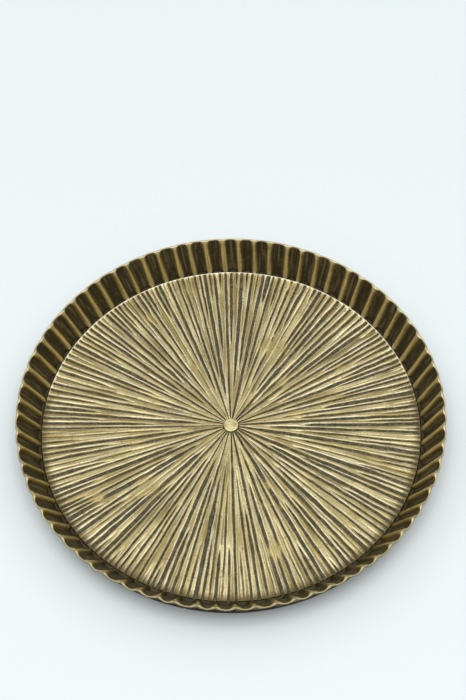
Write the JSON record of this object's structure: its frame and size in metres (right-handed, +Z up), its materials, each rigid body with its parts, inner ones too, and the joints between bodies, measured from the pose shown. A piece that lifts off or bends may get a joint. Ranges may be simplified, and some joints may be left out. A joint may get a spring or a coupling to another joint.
{
  "type": "round brass tray",
  "caption": "Round brass serving tray with a flared fluted wall and a sunburst floor riveted in at its centre, on felt pads.",
  "frame": {"origin": "centre of the tray, on the surface that its pads stand on", "axes": "+Z up out of the tray, -Y towards the viewer; the tray is round, so X and Y only follow the picture's view"},
  "size_m": [0.3807, 0.3808, 0.0365],
  "materials": {
    "pan_brass": "antiqued, dark in the flutes and rubbed bright on the ridges",
    "floor_brass": "rough cast, rubbed pale on the rays and dark in the grooves",
    "rivet_brass": "rubbed satin",
    "washer_brass": "dull",
    "felt": "pressed felt"
  },
  "bodies": {
    "root": {"fluted_pan": "pan_brass", "sunburst_plate": "floor_brass", "centre_rivet": "rivet_brass", "rivet_washer": "washer_brass", "foot_pad_back_right": "felt", "foot_pad_back_left": "felt", "foot_pad_front_left": "felt", "foot_pad_front_right": "felt"}
  },
  "joints": []
}
